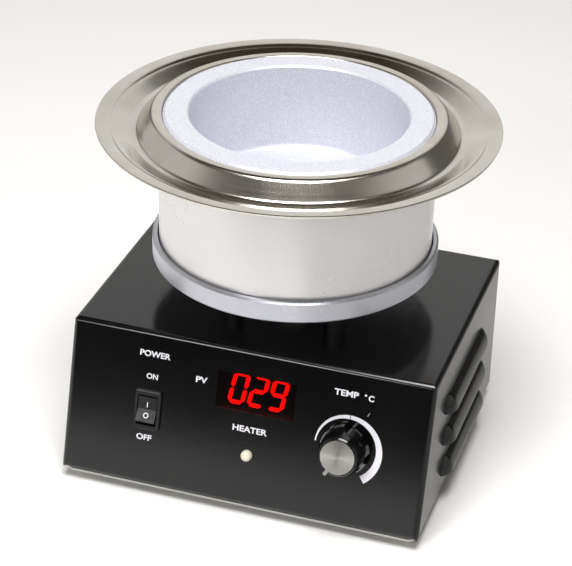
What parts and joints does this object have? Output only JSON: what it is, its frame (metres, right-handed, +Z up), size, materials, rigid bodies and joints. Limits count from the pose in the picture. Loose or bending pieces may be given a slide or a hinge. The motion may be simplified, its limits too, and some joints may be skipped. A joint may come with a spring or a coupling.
{
  "type": "solder pot",
  "caption": "Bench solder pot: round crucible in a spun drip dish on a heater housing, raised over a sloped-front control case with switch, display and knob.",
  "frame": {"origin": "on the pot's axis, in the plane the rubber feet stand on, which is the centre of the box's underside", "axes": "+Z up along the pot's axis, the sloped front panel faces -Y, +X to the right as seen from the front"},
  "size_m": [0.18, 0.18, 0.1642],
  "materials": {
    "black_enamel": "semi-gloss black stove enamel over folded steel",
    "zinc_plate": "zinc plated steel",
    "rubber": "moulded black rubber",
    "bright_steel": "bright steel",
    "ceramic": "steatite ceramic",
    "silver_lacquer": "silver heat-resistant lacquer",
    "spun_steel": "spun stainless steel with a satin polish",
    "crucible_iron": "cast iron under silver heat-resistant paint",
    "ceramic_fibre": "pressed ceramic fibre",
    "circuit_board": "solder-masked glass fibre board",
    "nylon": "natural nylon",
    "transformer_iron": "varnished laminations",
    "black_plastic": "moulded black plastic",
    "aluminium": "turned and extruded aluminium",
    "green_plastic": "moulded green plastic",
    "display_grey": "potted display block",
    "red_lens": "red tinted acrylic window",
    "lamp_lens": "diffused lamp lens",
    "dark_steel": "blackened steel",
    "brass": "tinned brass",
    "glass": "glass fuse tube with metal end caps"
  },
  "bodies": {
    "root": {"case_shell": "black_enamel", "bottom_plate": "zinc_plate", "plate_screws": "zinc_plate", "rubber_feet": "rubber", "foot_screws": "zinc_plate", "support_posts": "bright_steel", "post_bolts": "zinc_plate", "post_nuts": "zinc_plate", "lead_tube": "ceramic", "lead_tube_nut": "zinc_plate", "base_pan": "silver_lacquer", "heater_housing": "silver_lacquer", "drip_dish": "spun_steel", "crucible": "crucible_iron", "heater_band": "bright_steel", "band_bolt": "zinc_plate", "insulation_sleeve": "ceramic_fibre", "insulation_disc": "ceramic_fibre", "thermocouple": "bright_steel", "control_board": "circuit_board", "board_spacers": "nylon", "transformer": "transformer_iron", "triac": "black_plastic", "heat_sink": "aluminium", "filter_capacitor": "black_plastic", "terminal_block": "green_plastic", "front_board": "circuit_board", "front_spacers": "zinc_plate", "display_module": "display_grey", "display_window": "red_lens", "heater_lamp": "lamp_lens", "potentiometer": "aluminium", "pot_nut": "zinc_plate", "switch_housing": "black_plastic", "switch_terminals": "brass", "mains_inlet": "black_plastic", "inlet_pins": "brass", "inlet_screws": "zinc_plate", "fuse_holder": "black_plastic", "fuse_cap": "black_plastic", "fuse": "glass", "earth_stud": "brass", "earth_nut": "brass"},
    "power_rocker": {"switch_rocker": "black_plastic"},
    "temperature_knob": {"knob": "black_plastic", "pot_shaft": "bright_steel", "knob_cap": "aluminium", "knob_set_screw": "dark_steel"}
  },
  "joints": [
    {"name": "power_switch", "type": "hinge", "parent": "root", "child": "power_rocker", "pos_m": [-0.0449, -0.06889, 0.04], "axis": [1, 0, 0], "range_deg": [0, 18]},
    {"name": "temperature_dial", "type": "hinge", "parent": "root", "child": "temperature_knob", "pos_m": [0.0472, -0.06971, 0.04084], "axis": [0, -0.9659, 0.2588], "range_deg": [-300, 0]}
  ]
}
